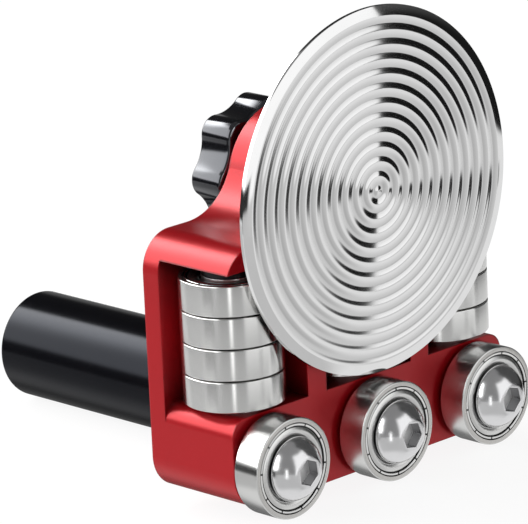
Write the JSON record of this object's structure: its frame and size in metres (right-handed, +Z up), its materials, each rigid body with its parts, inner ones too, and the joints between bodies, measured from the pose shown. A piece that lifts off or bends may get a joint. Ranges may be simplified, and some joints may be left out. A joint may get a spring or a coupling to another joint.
{
  "type": "sheet metal bender",
  "caption": "Hand-held roller bender for sheet metal edges: stacked bearing rollers in a milled body, a rippled disc set by a star knob, and a straight round handle.",
  "frame": {"origin": "on the handle axis, in the body's flat back face where the handle starts", "axes": "+X along the roller row, +Y from the disc to the handle's free end, +Z up"},
  "size_m": [0.0852, 0.1192, 0.1062],
  "materials": {
    "red_anodised": "satin red anodised",
    "roller_steel": "polished bearing steel",
    "disc_steel": "polished, with turned ripple rings",
    "screw_steel": "satin zinc plated",
    "plain_steel": "plain turned steel",
    "bush_bronze": "plain bronze",
    "knob_plastic": "gloss black",
    "handle_plastic": "gloss black"
  },
  "bodies": {
    "frame": {"body": "red_anodised", "front_inner_rings": "roller_steel", "front_ball_sets": "plain_steel", "front_screws": "screw_steel", "front_spacers": "plain_steel", "stack_inner_rings": "roller_steel", "stack_ball_sets": "plain_steel", "axle_pins": "plain_steel", "stack_shims": "plain_steel", "stack_spacers": "plain_steel", "key_screw": "plain_steel", "nut_ring": "plain_steel", "handle": "handle_plastic", "handle_stud": "plain_steel"},
    "spindle": {"spindle": "plain_steel"},
    "disc": {"disc": "disc_steel", "disc_bush": "bush_bronze"},
    "knob": {"knob": "knob_plastic", "knob_nut": "plain_steel"},
    "front_roller_1": {"front_roller_1": "roller_steel"},
    "front_roller_2": {"front_roller_2": "roller_steel"},
    "front_roller_3": {"front_roller_3": "roller_steel"},
    "stack_roller_a1": {"stack_roller_a1": "roller_steel"},
    "stack_roller_a2": {"stack_roller_a2": "roller_steel"},
    "stack_roller_a3": {"stack_roller_a3": "roller_steel"},
    "stack_roller_a4": {"stack_roller_a4": "roller_steel"},
    "stack_roller_b1": {"stack_roller_b1": "roller_steel"},
    "stack_roller_b2": {"stack_roller_b2": "roller_steel"},
    "stack_roller_b3": {"stack_roller_b3": "roller_steel"},
    "stack_roller_b4": {"stack_roller_b4": "roller_steel"},
    "stack_roller_c1": {"stack_roller_c1": "roller_steel"},
    "stack_roller_c2": {"stack_roller_c2": "roller_steel"},
    "stack_roller_c3": {"stack_roller_c3": "roller_steel"},
    "stack_roller_c4": {"stack_roller_c4": "roller_steel"}
  },
  "joints": [
    {"name": "front_spin_1", "type": "hinge", "parent": "frame", "child": "front_roller_1", "pos_m": [-0.0316, -0.0295, 0.0011], "axis": [0, 1, 0], "continuous": true},
    {"name": "front_spin_2", "type": "hinge", "parent": "frame", "child": "front_roller_2", "pos_m": [0, -0.0295, 0.0011], "axis": [0, 1, 0], "continuous": true},
    {"name": "front_spin_3", "type": "hinge", "parent": "frame", "child": "front_roller_3", "pos_m": [0.0316, -0.0295, 0.0011], "axis": [0, 1, 0], "continuous": true},
    {"name": "stack_spin_a1", "type": "hinge", "parent": "frame", "child": "stack_roller_a1", "pos_m": [-0.0316, -0.01605, 0.0168], "axis": [0, 0, 1], "continuous": true},
    {"name": "stack_spin_a2", "type": "hinge", "parent": "frame", "child": "stack_roller_a2", "pos_m": [-0.0316, -0.01605, 0.0238], "axis": [0, 0, 1], "continuous": true},
    {"name": "stack_spin_a3", "type": "hinge", "parent": "frame", "child": "stack_roller_a3", "pos_m": [-0.0316, -0.01605, 0.0308], "axis": [0, 0, 1], "continuous": true},
    {"name": "stack_spin_a4", "type": "hinge", "parent": "frame", "child": "stack_roller_a4", "pos_m": [-0.0316, -0.01605, 0.0378], "axis": [0, 0, 1], "continuous": true},
    {"name": "stack_spin_b1", "type": "hinge", "parent": "frame", "child": "stack_roller_b1", "pos_m": [0, -0.01605, 0.0168], "axis": [0, 0, 1], "continuous": true},
    {"name": "stack_spin_b2", "type": "hinge", "parent": "frame", "child": "stack_roller_b2", "pos_m": [0, -0.01605, 0.0238], "axis": [0, 0, 1], "continuous": true},
    {"name": "stack_spin_b3", "type": "hinge", "parent": "frame", "child": "stack_roller_b3", "pos_m": [0, -0.01605, 0.0308], "axis": [0, 0, 1], "continuous": true},
    {"name": "stack_spin_b4", "type": "hinge", "parent": "frame", "child": "stack_roller_b4", "pos_m": [0, -0.01605, 0.0378], "axis": [0, 0, 1], "continuous": true},
    {"name": "stack_spin_c1", "type": "hinge", "parent": "frame", "child": "stack_roller_c1", "pos_m": [0.0316, -0.01605, 0.0168], "axis": [0, 0, 1], "continuous": true},
    {"name": "stack_spin_c2", "type": "hinge", "parent": "frame", "child": "stack_roller_c2", "pos_m": [0.0316, -0.01605, 0.0238], "axis": [0, 0, 1], "continuous": true},
    {"name": "stack_spin_c3", "type": "hinge", "parent": "frame", "child": "stack_roller_c3", "pos_m": [0.0316, -0.01605, 0.0308], "axis": [0, 0, 1], "continuous": true},
    {"name": "stack_spin_c4", "type": "hinge", "parent": "frame", "child": "stack_roller_c4", "pos_m": [0.0316, -0.01605, 0.0378], "axis": [0, 0, 1], "continuous": true},
    {"name": "knob_turn", "type": "hinge", "parent": "frame", "child": "knob", "pos_m": [0, 0.008, 0.0541], "axis": [0, -1, 0], "range_deg": [-361, 253]},
    {"name": "spindle_slide", "type": "slide", "parent": "frame", "child": "spindle", "axis": [0, 1, 0], "range_m": [-0.00125, 0.00088]},
    {"name": "disc_spin", "type": "hinge", "parent": "spindle", "child": "disc", "pos_m": [0, -0.0284, 0.0541], "axis": [0, 1, 0], "continuous": true}
  ],
  "couplings": [
    {"joint": "knob_turn", "follows": "spindle_slide", "rad_per_m": 5026.5}
  ]
}
